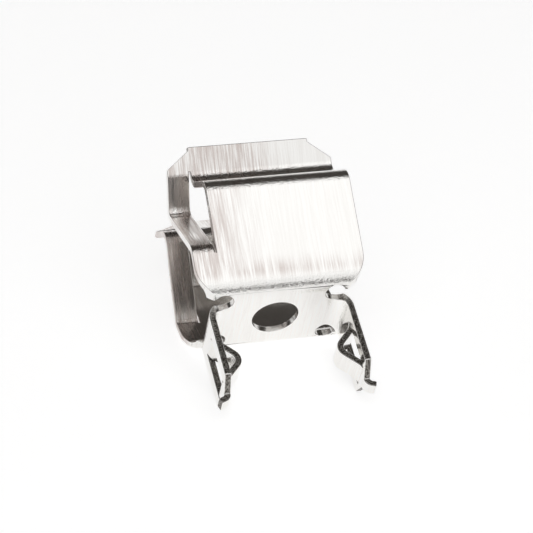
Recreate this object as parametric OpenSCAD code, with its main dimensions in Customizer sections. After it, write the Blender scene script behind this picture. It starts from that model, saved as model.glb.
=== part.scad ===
// Printed-circuit-board fuse clip, folded from one piece of spring sheet.
// Axes in millimetres: X runs along the fuse, Y from the front arm to the rear arm, Z up.
// The origin is the middle of the base hole at the underside of the base, the face
// that seats on the board; the arms rise from it and the legs go down from it.

/* [Sheet] */
// Thickness of the sheet
sheet_t = 0.3; // [0.2:0.02:0.4]
// Inner radius of the folds between base and arms
fold_r = 0.5; // [0.3:0.05:0.8]
// Width of the lance cuts that part a bent strip from its neighbour
lance_w = 0.08; // [0.04:0.02:0.16]

/* [Fuse] */
// Diameter of the fuse cap that the arms hold
fuse_d = 6.35; // [5.6:0.05:7.2]
// How much smaller than the cap the free arms stand, across the diameter
grip = 0.36; // [0.2:0.02:0.5]
// Free gap between the arms at their narrowest place
mouth_gap = 3.8; // [3.4:0.05:4.4]

/* [Arms] */
// Reach of the arms from the hole towards the stopped end
arm_left = 3.75; // [3.4:0.05:4.2]
// Reach of the arms from the hole towards the open end
arm_right = 3.95; // [3.6:0.05:4.4]
// Lean of the arm walls outwards from upright, degrees
wall_lean = 20; // [16:1:24]
// Slope of the closing part inwards from upright, degrees
close_lean = 51; // [46:1:54]
// Lean of the flared lip outwards from upright, degrees
lip_lean = 34; // [25:1:40]
// Length of the flared lip up its slope
lip_len = 1.1; // [0.9:0.05:1.4]
// Inner radius of the fold at the crest of the belly
crest_r = 0.4; // [0.3:0.05:0.6]
// Radius of the fold at the narrowest place, on its outer side
waist_r = 0.5; // [0.3:0.05:0.6]
// Radius of the rounded lower corners of the arms
corner_r = 1.4; // [1.1:0.05:1.6]
// Drop of the corner rounding below the board face, which leaves a clean edge
corner_drop = 0.1; // [0.05:0.01:0.15]
// Run of the bevelled lip corners along the fuse
bevel_x = 1.05; // [0.6:0.05:1.6]
// Upright edge left at the foot and at the top of each bevel
bevel_edge = 0.12; // [0.05:0.01:0.3]

/* [End stops] */
// Width of the strip pressed inwards at the stopped end of each arm
stop_w = 1; // [0.8:0.05:1.2]
// Height up the wall at which the strip leaves it
stop_start = 1.35; // [1.1:0.05:1.6]
// Slope of the strip inwards from upright, degrees
stop_in = 30; // [26:1:34]
// Slope of the strip back outwards from upright, degrees
stop_out = 52; // [48:1:56]
// Inner radius of the folds of the strip
stop_r = 0.35; // [0.25:0.05:0.5]

/* [Base] */
// Depth of the flat base between the folds of the arms
base_d = 3.1; // [2.8:0.05:3.6]
// Diameter of the round hole in the base
hole_d = 2.1; // [1.6:0.05:2.3]
// Radius of the round reliefs at the corners of the base
relief_r = 0.45; // [0.35:0.05:0.5]
// Distance of the middle of a relief inside the fold of the arm
relief_in = 0.15; // [0.05:0.05:0.3]
// Distance of the middle of a relief past the start of the fold of the leg
relief_out = 0.15; // [0:0.05:0.2]

/* [Legs] */
// Distance between the outer faces of the two legs
leg_span = 6.6; // [6.2:0.05:7.2]
// Width of a leg where it has three strands
leg_w = 2.4; // [2.2:0.05:2.6]
// Width of the bowed middle strand
strand_w = 1.1; // [0.9:0.05:1.3]
// Inner radius of the fold from the base to a leg
leg_r = 0.6; // [0.45:0.05:0.7]
// Straight part of a leg above the lance cuts
leg_root = 0.55; // [0.4:0.05:0.8]
// Depth of the bow of the middle strand
bow_d = 0.82; // [0.7:0.02:0.92]
// Slope of the bow from the leg, degrees
bow_a = 44; // [40:1:50]
// Inner radius of the folds of the bow
bow_r = 0.3; // [0.2:0.05:0.35]
// Height of the tapered toe that joins the strands below the bow
toe_h = 0.4; // [0.3:0.05:0.6]
// Width of the tip at the end of the taper
tip_w = 0.6; // [0.5:0.05:0.9]
// Inner radius of the fold that kicks the tip outwards
tip_r = 0.12; // [0.1:0.02:0.2]
// Outward kick of the tip, degrees
tip_a = 70; // [50:1:75]
// Length of the kicked tip
tip_len = 0.2; // [0.1:0.05:0.3]

/* [Hidden] */
$fn = 72;
// Straight runs and folds of one strip of sheet are listed as [length] and [angle, radius].
// A positive angle folds the strip towards its upper face, a negative one towards its lower.
wall_a = 90 - wall_lean;
close_a = 90 + close_lean;
lip_a = 90 - lip_lean;
stop_in_a = 90 + stop_in;
stop_out_a = 90 - stop_out;

// Directions in the plane across the fuse, and the shift over a fold on the outer face
function dir(a) = [cos(a), sin(a)];
function left_turn(a, b, r) = (r + sheet_t) * [sin(b) - sin(a), cos(a) - cos(b)];
function right_turn(a, b, r) = r * [sin(a) - sin(b), cos(b) - cos(a)];
function cross2(u, v) = u[0] * v[1] - u[1] * v[0];

// Outer face of the wall starts where the base fold ends
wall_p = [base_d / 2, 0] + left_turn(0, wall_a, fold_r);
// Radius of the free arms' grip, and its centre above the board
grip_r = (fuse_d - grip) / 2;
grip_z = wall_p[1] + (grip_r + sheet_t - wall_p[0] * sin(wall_a)) / cos(wall_a);
// The closing part lies against the same circle
close_n = [sin(close_a), -cos(close_a)];
close_p = [0, grip_z] + (grip_r + sheet_t) * close_n;
corner_s = cross2(close_p - wall_p, dir(close_a)) / cross2(dir(wall_a), dir(close_a));
crest_cut = (crest_r + sheet_t) * tan((close_a - wall_a) / 2);
wall_len = corner_s - crest_cut;
crest_end = wall_p + wall_len * dir(wall_a) + left_turn(wall_a, close_a, crest_r);
waist_y = mouth_gap / 2 + sheet_t + waist_r * (1 - sin(close_a));
close_len = (crest_end[0] - waist_y) / -cos(close_a);
lip_p = crest_end + close_len * dir(close_a) + right_turn(close_a, lip_a, waist_r);
lip_top = lip_p + lip_len * dir(lip_a);

// The stop strip leaves the wall and comes back to the start of the lip
stop_p = wall_p + stop_start * dir(wall_a);
stop_turns = left_turn(wall_a, stop_in_a, stop_r) + right_turn(stop_in_a, stop_out_a, stop_r)
    + left_turn(stop_out_a, lip_a, stop_r);
stop_gap = lip_p - stop_p - stop_turns;
stop_det = cross2(dir(stop_in_a), dir(stop_out_a));
stop_len_in = cross2(stop_gap, dir(stop_out_a)) / stop_det;
stop_len_out = cross2(dir(stop_in_a), stop_gap) / stop_det;

// The bow of a leg strand goes in and comes back to the plane of the leg
bow_len = (bow_d - (2 * bow_r + sheet_t) * (1 - cos(bow_a))) / sin(bow_a);
bow_run = 2 * ((2 * bow_r + sheet_t) * sin(bow_a) + bow_len * cos(bow_a));

arm_len = arm_left + arm_right;
belly_x = stop_w + lance_w;
leg_root_x = leg_span / 2 - leg_r - sheet_t;
relief_x = leg_root_x + relief_out;
relief_y = base_d / 2 - relief_in;
// Reach of the cutters past the sheet
over = 1;

// One fold of a strip of width w, about its upper side or its lower side
module fold_up(a, r, w) {
    translate([0, 0, sheet_t + r])
        rotate([0, 90, 0])
            rotate_extrude(angle = a)
                translate([r, 0])
                    square([sheet_t, w]);
}

module fold_down(a, r, w) {
    translate([w, 0, -r])
        rotate([0, -90, 0])
            rotate_extrude(angle = a)
                translate([r, 0])
                    square([sheet_t, w]);
}

// A strip of width w that follows a list of straight runs and folds along +Y.
// It draws the items of the list from number "first" on.
module strip(path, w, first = 0, i = 0) {
    if (i < len(path)) {
        if (len(path[i]) == 1) {
            if (i >= first)
                cube([w, path[i][0], sheet_t]);
            translate([0, path[i][0], 0])
                strip(path, w, first, i + 1);
        } else if (path[i][0] > 0) {
            if (i >= first)
                fold_up(path[i][0], path[i][1], w);
            translate([0, 0, sheet_t + path[i][1]])
                rotate([path[i][0], 0, 0])
                    translate([0, 0, -sheet_t - path[i][1]])
                        strip(path, w, first, i + 1);
        } else {
            if (i >= first)
                fold_down(-path[i][0], path[i][1], w);
            translate([0, 0, -path[i][1]])
                rotate([path[i][0], 0, 0])
                    translate([0, 0, path[i][1]])
                        strip(path, w, first, i + 1);
        }
    }
}

// Runs and folds of an arm: the foot, then the belly or the stop strip, then the lip
arm_foot = [[wall_a, fold_r], [stop_start]];
arm_belly = [
    [wall_len - stop_start],
    [close_a - wall_a, crest_r],
    [close_len],
    [lip_a - close_a, waist_r]
];
arm_stop = [
    [stop_in_a - wall_a, stop_r],
    [stop_len_in],
    [stop_out_a - stop_in_a, stop_r],
    [stop_len_out],
    [lip_a - stop_out_a, stop_r]
];
arm_lip = [[lip_len]];

// Rounded lower corner of an arm, cut along Y
module foot_corner() {
    reach = wall_p[0] + 2 * over;
    difference() {
        translate([-over, -over, -over])
            cube([over + corner_r, reach, over + corner_r - corner_drop]);
        translate([corner_r, -2 * over, corner_r - corner_drop])
            rotate([-90, 0, 0])
                cylinder(h = reach + 2 * over, r = corner_r);
    }
}

// Bevelled upper corner of the lip, cut along Y
module lip_bevel() {
    rise = lip_top[1] - lip_p[1];
    slope = (rise - 2 * bevel_edge) / bevel_x;
    translate([0, lip_top[0] + over, lip_p[1] + bevel_edge])
        rotate([90, 0, 0])
            linear_extrude(height = lip_top[0] + 2 * over)
                polygon([
                    [-over, -over * slope],
                    [bevel_x, bevel_x * slope],
                    [bevel_x, rise + over],
                    [-over, rise + over]
                ]);
}

// One arm, rising from the rear edge of the base
module arm() {
    translate([-arm_left, base_d / 2, 0])
        difference() {
            union() {
                strip(arm_foot, arm_len);
                translate([belly_x, 0, 0])
                    strip(concat(arm_foot, arm_belly), arm_len - belly_x, len(arm_foot));
                strip(concat(arm_foot, arm_stop), stop_w, len(arm_foot));
                strip(concat(arm_foot, arm_belly, arm_lip), arm_len, len(arm_foot) + len(arm_belly));
            }
            foot_corner();
            lip_bevel();
            translate([arm_len, 0, 0])
                mirror([1, 0, 0]) {
                    foot_corner();
                    lip_bevel();
                }
        }
}

// Runs and folds of a leg: the root, then straight or bowed strands, then the tip of the toe
leg_top = [[-90, leg_r], [leg_root]];
leg_bow = [
    [-bow_a, bow_r],
    [bow_len],
    [2 * bow_a, bow_r],
    [bow_len],
    [-bow_a, bow_r]
];
leg_tip = [[tip_a, tip_r], [tip_len]];
side_w = (leg_w - strand_w) / 2 - lance_w;

// Tapered toe at the end of a strip that follows the path, drawn flat along +Y
module toe(path, i = 0) {
    if (i < len(path)) {
        if (len(path[i]) == 1)
            translate([0, path[i][0], 0])
                toe(path, i + 1);
        else
            translate([0, 0, -path[i][1]])
                rotate([path[i][0], 0, 0])
                    translate([0, 0, path[i][1]])
                        toe(path, i + 1);
    } else {
        linear_extrude(height = sheet_t)
            polygon([
                [0, 0],
                [leg_w, 0],
                [(leg_w + tip_w) / 2, toe_h],
                [(leg_w - tip_w) / 2, toe_h]
            ]);
    }
}

// One leg, going down from the right edge of the base
module leg() {
    n = len(leg_top);
    straight = concat(leg_top, [[bow_run]]);
    tapered = concat(straight, [[toe_h]]);
    translate([leg_root_x, leg_w / 2, 0])
        rotate([0, 0, -90]) {
            strip(leg_top, leg_w);
            strip(straight, side_w, n);
            translate([leg_w - side_w, 0, 0])
                strip(straight, side_w, n);
            translate([(leg_w - strand_w) / 2, 0, 0])
                strip(concat(leg_top, leg_bow), strand_w, n);
            toe(straight);
            translate([(leg_w - tip_w) / 2, 0, 0])
                strip(concat(tapered, leg_tip), tip_w, len(tapered));
        }
}

module base() {
    difference() {
        translate([-leg_root_x, -base_d / 2, 0])
            cube([2 * leg_root_x, base_d, sheet_t]);
        translate([0, 0, -over])
            cylinder(h = 2 * over, d = hole_d);
    }
}

module fuse_clip() {
    color([0.8, 0.79, 0.77])
        difference() {
            union() {
                base();
                arm();
                mirror([0, 1, 0])
                    arm();
                leg();
                mirror([1, 0, 0])
                    leg();
            }
            for (sx = [-1, 1], sy = [-1, 1])
                translate([sx * relief_x, sy * relief_y, -over])
                    cylinder(h = 2 * over, r = relief_r);
        }
}

fuse_clip();
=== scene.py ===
import bmesh
import bpy
import numpy as np
from mathutils import Matrix


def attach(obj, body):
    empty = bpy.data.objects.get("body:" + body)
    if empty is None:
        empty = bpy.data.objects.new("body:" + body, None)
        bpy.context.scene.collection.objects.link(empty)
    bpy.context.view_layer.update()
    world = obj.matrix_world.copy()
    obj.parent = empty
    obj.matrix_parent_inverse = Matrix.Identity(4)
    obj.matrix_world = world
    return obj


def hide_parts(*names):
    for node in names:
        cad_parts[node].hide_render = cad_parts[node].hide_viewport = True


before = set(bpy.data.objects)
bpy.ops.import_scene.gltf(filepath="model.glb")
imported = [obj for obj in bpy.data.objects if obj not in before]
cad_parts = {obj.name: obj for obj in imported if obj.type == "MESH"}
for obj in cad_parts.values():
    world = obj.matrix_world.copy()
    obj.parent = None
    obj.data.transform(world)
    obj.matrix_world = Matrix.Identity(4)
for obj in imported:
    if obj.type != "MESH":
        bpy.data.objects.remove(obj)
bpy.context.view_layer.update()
scene = bpy.context.scene

# The folded clip
# One blank of spring brass sheet, 0.3 mm thick, blanked, lanced and folded in a press,
# then tin plated bright. The press leaves every cut rim slightly rounded.
RIM = 0.04e-3
SOFT_RIM_STEPS = 2
SHEET = 0.3e-3
SHARP_FOLD = np.radians(32)
FOLD_FACE = 1e-6
UNDER, ABOVE, SHEARED, ROUNDED = 0, 1, 2, 3


def sheet_sides(bm):
    """Numbers the skin of the blank: faces that meet at under 32 degrees share a number, found by
    passing the lowest number across those edges until nothing changes. The group under the base
    becomes UNDER, the group above it ABOVE, and every other group, the sheared rims, SHEARED."""
    bm.faces.ensure_lookup_table()
    edges = [e for e in bm.edges if len(e.link_faces) == 2]
    pair = np.array([[f.index for f in e.link_faces] for e in edges])
    soft = pair[np.array([e.calc_face_angle() for e in edges]) < SHARP_FOLD]
    group = np.arange(len(bm.faces))
    while True:
        before = group.copy()
        low = np.minimum(group[soft[:, 0]], group[soft[:, 1]])
        np.minimum.at(group, soft[:, 0], low)
        np.minimum.at(group, soft[:, 1], low)
        if np.array_equal(before, group):
            break
    middle = np.array([f.calc_center_median() for f in bm.faces])
    facing = np.array([f.normal for f in bm.faces])
    area = np.array([f.calc_area() for f in bm.faces])
    base = np.abs(middle - [0, 0, SHEET / 2]) < [3e-3, 1.5e-3, 0.2e-3]
    flat = base.all(axis=1)
    under = group[np.argmax(area * flat * (facing[:, 2] < -0.99))]
    above = group[np.argmax(area * flat * (facing[:, 2] > 0.99))]
    return np.where(group == under, UNDER, np.where(group == above, ABOVE, SHEARED))


bm = bmesh.new()
bm.from_mesh(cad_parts["fuse_clip"].data)
bmesh.ops.remove_doubles(bm, verts=bm.verts, dist=1e-7)
bmesh.ops.dissolve_limit(bm, angle_limit=np.radians(0.4), verts=bm.verts, edges=bm.edges)
bm.normal_update()
side = sheet_sides(bm)
clip_mesh = bpy.data.meshes.new("folded_clip")
bm.to_mesh(clip_mesh)
corner_of, corners_in = np.zeros(len(clip_mesh.loops), int), np.zeros(len(side), int)
clip_mesh.loops.foreach_get("vertex_index", corner_of)
clip_mesh.polygons.foreach_get("loop_total", corners_in)
on_top = np.zeros(len(clip_mesh.vertices), np.float32)
on_top[corner_of[np.repeat(side == ABOVE, corners_in)]] = 1.0
clip_mesh.attributes.new("through", "FLOAT", "POINT").data.foreach_set("value", on_top)
clip_mesh.polygons.foreach_set("material_index", side.astype(np.int32))
bm.clear()
bm.from_mesh(clip_mesh)
bm.normal_update()
rims = [e for e in bm.edges if len(e.link_faces) == 2 and e.calc_face_angle() > SHARP_FOLD]
bmesh.ops.bevel(bm, geom=rims, offset=RIM, offset_type="OFFSET", segments=SOFT_RIM_STEPS,
                profile=0.5, affect="EDGES", clamp_overlap=False, material=ROUNDED,
                loop_slide=True)
bmesh.ops.remove_doubles(bm, verts=bm.verts, dist=1.5e-6)
bmesh.ops.dissolve_degenerate(bm, edges=bm.edges, dist=1e-6)
bm.normal_update()
bm.to_mesh(clip_mesh)
bm.free()


def skin_normals(mesh):
    """Shading direction at each vertex: the sum of its faces' directions, each times the face's
    area, so that a broad flat stays flat up to its rim and the narrow rounding takes the turn."""
    corners = np.zeros(len(mesh.loops), int)
    mesh.loops.foreach_get("vertex_index", corners)
    counts = np.zeros(len(mesh.polygons), int)
    mesh.polygons.foreach_get("loop_total", counts)
    facing, area = np.zeros(len(mesh.polygons) * 3), np.zeros(len(mesh.polygons))
    mesh.polygons.foreach_get("normal", facing)
    mesh.polygons.foreach_get("area", area)
    weighted = np.repeat(facing.reshape(-1, 3) * area[:, None], counts, axis=0)
    total = np.zeros((len(mesh.vertices), 3))
    np.add.at(total, corners, weighted)
    return total / np.maximum(np.linalg.norm(total, axis=1, keepdims=True), 1e-30)


def sheared_and_bent(mesh, normals):
    """Two shares. Sheared is one on every vertex of a rim face and nought on the rest, so that it
    fades across the rounding between rim and sheet; it stays whole on the legs and is weaker low
    on the arms. Bent is one on the corners of the small skin faces that leave their vertices'
    direction by more than a degree, which are the folds."""
    number, counts = np.zeros(len(mesh.polygons), int), np.zeros(len(mesh.polygons), int)
    corners = np.zeros(len(mesh.loops), int)
    facing, places = np.zeros(len(mesh.polygons) * 3), np.zeros(len(mesh.vertices) * 3)
    mesh.polygons.foreach_get("material_index", number)
    mesh.polygons.foreach_get("loop_total", counts)
    mesh.loops.foreach_get("vertex_index", corners)
    mesh.polygons.foreach_get("normal", facing)
    mesh.vertices.foreach_get("co", places)
    places = places.reshape(-1, 3)
    share = np.zeros(len(mesh.vertices))
    share[corners[np.repeat(number == SHEARED, counts)]] = 1.0
    leg = (places[:, 2] < -0.05e-3) & (np.abs(places[:, 0]) > 1.9e-3)
    on_arm = np.interp(places[:, 2], [6.4e-3, 7.7e-3], [0.25, 0.8])
    share = share * np.where(leg, 1.0, on_arm)
    along = (np.repeat(facing.reshape(-1, 3), counts, axis=0) * normals[corners]).sum(1)
    first = np.concatenate([[0], np.cumsum(counts)[:-1]])
    leaves = np.minimum.reduceat(along, first) < np.cos(np.radians(1.0))
    area = np.zeros(len(mesh.polygons))
    mesh.polygons.foreach_get("area", area)
    bent = np.repeat(leaves & (number < SHEARED) & (area < FOLD_FACE), counts)
    return share.astype(np.float32), bent.astype(np.float32)


skin_up = skin_normals(clip_mesh)
sheared, bent = sheared_and_bent(clip_mesh, skin_up)
clip_mesh.attributes.new("sheared", "FLOAT", "POINT").data.foreach_set("value", sheared)
clip_mesh.attributes.new("bent", "FLOAT", "CORNER").data.foreach_set("value", bent)
clip_mesh.polygons.foreach_set("material_index", np.zeros(len(clip_mesh.polygons), np.int32))
clip_mesh.polygons.foreach_set("use_smooth", np.ones(len(clip_mesh.polygons), bool))
clip_mesh.normals_split_custom_set_from_vertices(skin_up.tolist())
clip = bpy.data.objects.new("folded_clip", clip_mesh)
scene.collection.objects.link(clip)


class Wire:
    """A socket of a shader tree. Arithmetic on it adds Math nodes to the same tree."""

    def __init__(self, tree, socket=None):
        self.tree, self.socket = tree, socket

    def node(self, kind, settings=None, out=0, **sockets):
        """Adds any node: its settings first, then the value or the link of each named socket."""
        made = self.tree.nodes.new(kind)
        for name, value in (settings or {}).items():
            setattr(made, name, value)
        for name, value in sockets.items():
            key = int(name[1:]) if name[0] == "s" and name[1:].isdigit() else name.replace("_", " ")
            if isinstance(value, Wire):
                self.tree.links.new(value.socket, made.inputs[key])
            else:
                made.inputs[key].default_value = value
        return Wire(self.tree, made.outputs[out] if len(made.outputs) else None)

    def maths(self, operation, a, b):
        return self.node("ShaderNodeMath", {"operation": operation}, s0=a, s1=b)

    def __add__(self, other):
        return self.maths("ADD", self, other)

    def __radd__(self, other):
        return self.maths("ADD", other, self)

    def __sub__(self, other):
        return self.maths("SUBTRACT", self, other)

    def __rsub__(self, other):
        return self.maths("SUBTRACT", other, self)

    def __mul__(self, other):
        return self.maths("MULTIPLY", self, other)

    def __rmul__(self, other):
        return self.maths("MULTIPLY", other, self)


def rise(value, low, high):
    """Nought below low, one above high, and a smooth rise between them."""
    return value.node("ShaderNodeMapRange", {"interpolation_type": "SMOOTHSTEP"},
                      Value=value, From_Min=low, From_Max=high)


def tint(share, first, second):
    """The first colour where the share is nought and the second where it is one."""
    return share.node("ShaderNodeMix", {"data_type": "RGBA"}, out=2, s0=share, s6=first, s7=second)


def plated_sheet():
    """Bright tin over brass: fine rolling lines across the fuse's length, a grain that opens where
    the sheet is bent, and dull speckled rims where the press sheared through the plating."""
    material = bpy.data.materials.new("bright_tin_plate")
    material.use_nodes = True
    tree = material.node_tree
    tree.nodes.clear()
    bench = Wire(tree)
    place = bench.node("ShaderNodeTexCoord", out=3)
    sheared = bench.node("ShaderNodeAttribute", {"attribute_name": "sheared"}, out=2)
    across = bench.node("ShaderNodeAttribute", {"attribute_name": "through"}, out=2)
    folded = bench.node("ShaderNodeAttribute", {"attribute_name": "bent"}, out=2)
    along = bench.node("ShaderNodeSeparateXYZ", Vector=place, out=0)
    height = bench.node("ShaderNodeSeparateXYZ", Vector=place, out=2)
    fine = bench.node("ShaderNodeMapping", Vector=place, Scale=(13000, 520, 520))
    broad = bench.node("ShaderNodeMapping", Vector=place, Scale=(2400, 240, 240))
    lines = bench.node("ShaderNodeTexNoise", Vector=fine, Scale=1.0, Detail=4.0, Roughness=0.65)
    bands = bench.node("ShaderNodeTexNoise", Vector=broad, Scale=1.0, Detail=3.0, Roughness=0.55)
    grain = bench.node("ShaderNodeTexNoise", Vector=place, Scale=16000.0, Detail=3.0,
                       Roughness=0.65)
    cloud = bench.node("ShaderNodeTexNoise", Vector=place, Scale=420.0, Detail=2.0, Roughness=0.5)
    crinkle = bench.node("ShaderNodeTexNoise", Vector=place, Scale=10500.0, Detail=2.0,
                         Roughness=0.7)
    pits = bench.node("ShaderNodeTexVoronoi", Vector=place, Scale=15000.0)
    # Streak zone: the left part of the clip above the base, a band low on the arms, and the crown
    # short of its right end. There the rolling lines are tinted darker brown and made rougher.
    arms = rise(height, 0.35e-3, 0.9e-3)
    left_part = 1 - rise(along + cloud * 2.4e-3, -1.9e-3, 1.1e-3)
    foot = 1 - rise(height + cloud * 1.2e-3, 1.2e-3, 2.3e-3)
    crown = rise(height, 5.6e-3, 6.2e-3)
    streak_zone = bench.node("ShaderNodeMath", {"operation": "MAXIMUM", "use_clamp": True},
                      s0=left_part, s1=foot * 0.9) * arms
    streak_zone = bench.node("ShaderNodeMath", {"operation": "MAXIMUM"}, s0=streak_zone,
                      s1=crown * (1 - rise(along + cloud * 3e-3, 1.2e-3, 4.0e-3)))
    brushed = rise(lines * 0.62 + bands * 0.38, 0.38, 0.62)
    dulled = brushed * streak_zone
    sheet = tint(brushed * 0.35, (0.87, 0.86, 0.84, 1), (0.74, 0.72, 0.69, 1))
    sheet = tint(dulled * 0.75, sheet, (0.50, 0.42, 0.39, 1))
    speckle = rise(grain, 0.46, 0.6)
    rim = tint(speckle, (0.07, 0.062, 0.055, 1), (0.42, 0.40, 0.37, 1))
    edge = rise(across + grain * 0.25, 0.95, 1.1)
    rim = tint(edge, rim, (0.62, 0.60, 0.57, 1))
    colour = tint(sheared, sheet, rim)
    rough = (0.10 + dulled * 0.16 + cloud * 0.05) * (1 - sheared) + (0.30 + pits * 0.2) * sheared
    marks = bench.node("ShaderNodeBump", Height=lines * (0.25 + streak_zone), Strength=0.3,
                       Distance=0.0014e-3)
    peel = bench.node("ShaderNodeBump", Height=crinkle * (0.05 + folded), Strength=0.8,
                      Distance=0.022e-3, Normal=marks)
    torn = bench.node("ShaderNodeBump", Height=(pits + grain) * sheared, Strength=0.6,
                      Distance=0.012e-3, Normal=peel)
    shine = bench.node("ShaderNodeBsdfPrincipled", Base_Color=colour, Metallic=1.0,
                       Roughness=rough, Normal=torn)
    bench.node("ShaderNodeOutputMaterial", Surface=shine)
    return material


clip_mesh.materials.append(plated_sheet())
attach(clip, "root")
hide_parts("fuse_clip")

# The table top
# A sheet of smooth white board. The clip lies on it on the toes of its legs and on the
# belly of its rear arm, so the board is found from those two lines of touch.
skin = np.zeros(len(clip_mesh.vertices) * 3)
clip_mesh.vertices.foreach_get("co", skin)
skin = skin.reshape(-1, 3)


def lying_plane(points):
    """Up direction of a board that touches the lowest toe and the rear belly together: over a fan
    of directions (0, -cos t, sin t) the toe's and the belly's lowest heights are compared, and
    the direction at which they are equal is taken by interpolation."""
    t = np.radians(np.linspace(2, 45, 400))
    fan = np.stack([0 * t, -np.cos(t), np.sin(t)])
    toe = (points[points[:, 2] < -2e-3] @ fan).min(0)
    belly = (points[points[:, 2] > 2e-3] @ fan).min(0)
    order = np.argsort(belly - toe)
    at = np.interp(0, (belly - toe)[order], t[order])
    up = np.array([0, -np.cos(at), np.sin(at)])
    return up, (points @ up).min()


table_up, table_height = lying_plane(skin)
table_right = np.array([1.0, 0.0, 0.0])
table_back = np.cross(table_up, table_right)
TABLE_HALF, TABLE_CELLS, TABLE_CLEAR = 0.6, 24, 2e-6
reach = np.linspace(-TABLE_HALF, TABLE_HALF, TABLE_CELLS + 1)
gx, gy = np.meshgrid(reach, reach, indexing="ij")
table_points = (gx.reshape(-1, 1) * table_right + gy.reshape(-1, 1) * table_back
                + (table_height - TABLE_CLEAR) * table_up)
line = TABLE_CELLS + 1
cell = (np.arange(TABLE_CELLS)[:, None] * line + np.arange(TABLE_CELLS)).reshape(-1, 1)
table_corners = cell + np.array([0, line, line + 1, 1])
table_mesh = bpy.data.meshes.new("white_table")
table_mesh.from_pydata(table_points.tolist(), [], table_corners.tolist())
table = bpy.data.objects.new("white_table", table_mesh)
scene.collection.objects.link(table)


def white_board():
    """Matt white board that shows white to the eye and in the metal and keeps the clip's shadow;
    its back lets the eye through, so that the clip is seen from below as well."""
    material = bpy.data.materials.new("white_board")
    material.use_nodes = True
    tree = material.node_tree
    tree.nodes.clear()
    bench = Wire(tree)
    seen = bench.node("ShaderNodeLightPath", out=0)
    mirrored = bench.node("ShaderNodeLightPath", out=3)
    passed = bench.node("ShaderNodeLightPath", out=6)
    shown = bench.node("ShaderNodeMath", {"operation": "ADD", "use_clamp": True},
                       s0=seen + mirrored, s1=passed)
    behind = bench.node("ShaderNodeNewGeometry", out=6)
    matt = bench.node("ShaderNodeBsdfDiffuse", Color=(0.86, 0.86, 0.86, 1))
    shade = bench.node("ShaderNodeBsdfDiffuse", Color=(0.55, 0.55, 0.55, 1))
    glow = bench.node("ShaderNodeEmission", Color=(1, 1, 1, 1), Strength=0.74)
    pale = bench.node("ShaderNodeAddShader", s0=shade, s1=glow)
    front = bench.node("ShaderNodeMixShader", s0=shown, s1=matt, s2=pale)
    clear = bench.node("ShaderNodeBsdfTransparent")
    both = bench.node("ShaderNodeMixShader", s0=behind, s1=front, s2=clear)
    bench.node("ShaderNodeOutputMaterial", Surface=both)
    return material


table_mesh.materials.append(white_board())

# The dark cards round the table
# One band of dark card, low at the near side and tall enough to lean over the clip at the
# far side: bright sheet metal shows its bends only where it mirrors something dark.
CARD_RADIUS, CARD_TURNS, CARD_STEPS = 0.2, 96, 12


def card_band(first, last):
    """A band of a sphere about the clip: the turn round the table runs along the first axis of the
    grid, and the rise from the low angle to the high one along the second."""
    around = np.linspace(0, 2 * np.pi, CARD_TURNS + 1)
    share = np.linspace(0, 1, CARD_STEPS + 1)
    climb = np.radians(first(around)[:, None] * (1 - share) + last(around)[:, None] * share)
    flat = np.cos(climb)[..., None] * (np.cos(around)[:, None, None] * table_right
                                       + np.sin(around)[:, None, None] * table_back)
    ball = (flat + np.sin(climb)[..., None] * table_up) * CARD_RADIUS
    return (ball + table_height * table_up).reshape(-1, 3)


card_points = card_band(lambda turn: 7 + 7 * np.sin(turn), lambda turn: 58 + 44 * np.sin(turn))
column = CARD_STEPS + 1
square = (np.arange(CARD_TURNS)[:, None] * column + np.arange(CARD_STEPS)).reshape(-1, 1)
card_corners = square + np.array([0, column, column + 1, 1])
card_mesh = bpy.data.meshes.new("dark_cards")
card_mesh.from_pydata(card_points.tolist(), [], card_corners.tolist())
cards = bpy.data.objects.new("dark_cards", card_mesh)
scene.collection.objects.link(cards)
cards.visible_camera = False
card_look = bpy.data.materials.new("dark_card")
card_look.use_nodes = True
card_inputs = card_look.node_tree.nodes["Principled BSDF"].inputs
card_inputs["Base Color"].default_value = (0.13, 0.118, 0.107, 1)
card_inputs["Roughness"].default_value = 0.9
card_mesh.materials.append(card_look)

# The light
# A white tent overhead gives an even level from all sides, and one broad soft box over the
# camera's side lifts the faces that look up.
world = bpy.data.worlds.new("white_tent")
world.use_nodes = True
world.node_tree.nodes["Background"].inputs["Color"].default_value = (1, 1, 1, 1)
world.node_tree.nodes["Background"].inputs["Strength"].default_value = 1.0
scene.world = world


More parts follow.
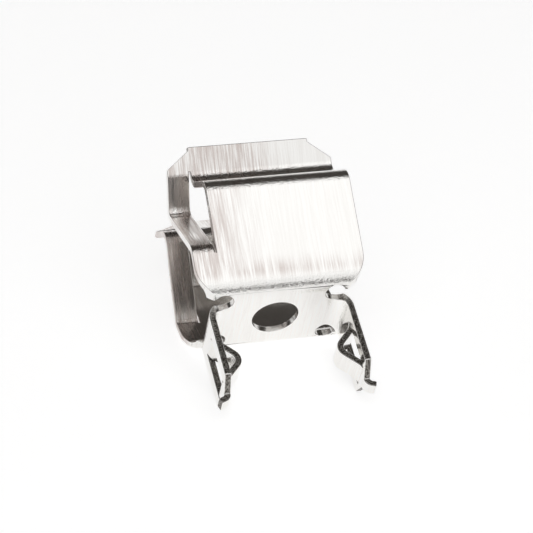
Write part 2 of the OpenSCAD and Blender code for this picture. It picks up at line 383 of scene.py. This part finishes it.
def aimed(position, towards):
    """Rotation whose third axis points from the target back to the position, with the table's right
    hand as its first axis as nearly as it can be."""
    back = np.asarray(position) - np.asarray(towards)
    back = back / np.linalg.norm(back)
    right = table_right - back * (table_right @ back)
    right = right / np.linalg.norm(right)
    return np.stack([right, np.cross(back, right), back], 1)


def placed(obj, axes, position):
    """Puts the columns of axes and the position into the object's matrix."""
    matrix = np.eye(4)
    matrix[:3, :3], matrix[:3, 3] = axes, position
    obj.matrix_world = Matrix(matrix.tolist())


box_place = table_up * 0.30 - table_back * 0.10
soft_box = bpy.data.lights.new("soft_box", "AREA")
soft_box.shape, soft_box.size, soft_box.size_y = "RECTANGLE", 0.30, 0.22
soft_box.energy = 0.038
soft_box_object = bpy.data.objects.new("soft_box", soft_box)
scene.collection.objects.link(soft_box_object)
placed(soft_box_object, aimed(box_place, np.zeros(3)), box_place)

# The camera
# Placed by the ellipse of the base hole and by the matching front and rear arms: it looks up
# under the base from the left, 105 mm away, and is rolled to the slope of the table.
AZIMUTH, ELEVATION, ROLL = np.radians([-18.569, -34.182, 16.327])
DISTANCE, FOCAL_PIXELS = 0.10529, 2379.16
PICTURE, SENSOR = 533, 36.0
CENTRE_X, CENTRE_Y = 275.26, 317.24
towards = np.array([np.sin(AZIMUTH) * np.cos(ELEVATION),
                    -np.cos(AZIMUTH) * np.cos(ELEVATION),
                    np.sin(ELEVATION)])
level = np.array([np.cos(AZIMUTH), np.sin(AZIMUTH), 0])
upright = np.cross(towards, level)
right = np.cos(ROLL) * level - np.sin(ROLL) * upright
top = np.sin(ROLL) * level + np.cos(ROLL) * upright
camera_data = bpy.data.cameras.new("camera")
camera_data.sensor_width = SENSOR
camera_data.lens = FOCAL_PIXELS / PICTURE * SENSOR
camera_data.shift_x = -(CENTRE_X - PICTURE / 2) / PICTURE
camera_data.shift_y = (CENTRE_Y - PICTURE / 2) / PICTURE
camera_data.clip_start, camera_data.clip_end = 0.005, 5.0
camera = bpy.data.objects.new("camera", camera_data)
scene.collection.objects.link(camera)
placed(camera, np.stack([right, top, towards], 1), towards * DISTANCE)
scene.camera = camera

scene.view_settings.view_transform = "Standard"
bpy.context.view_layer.update()
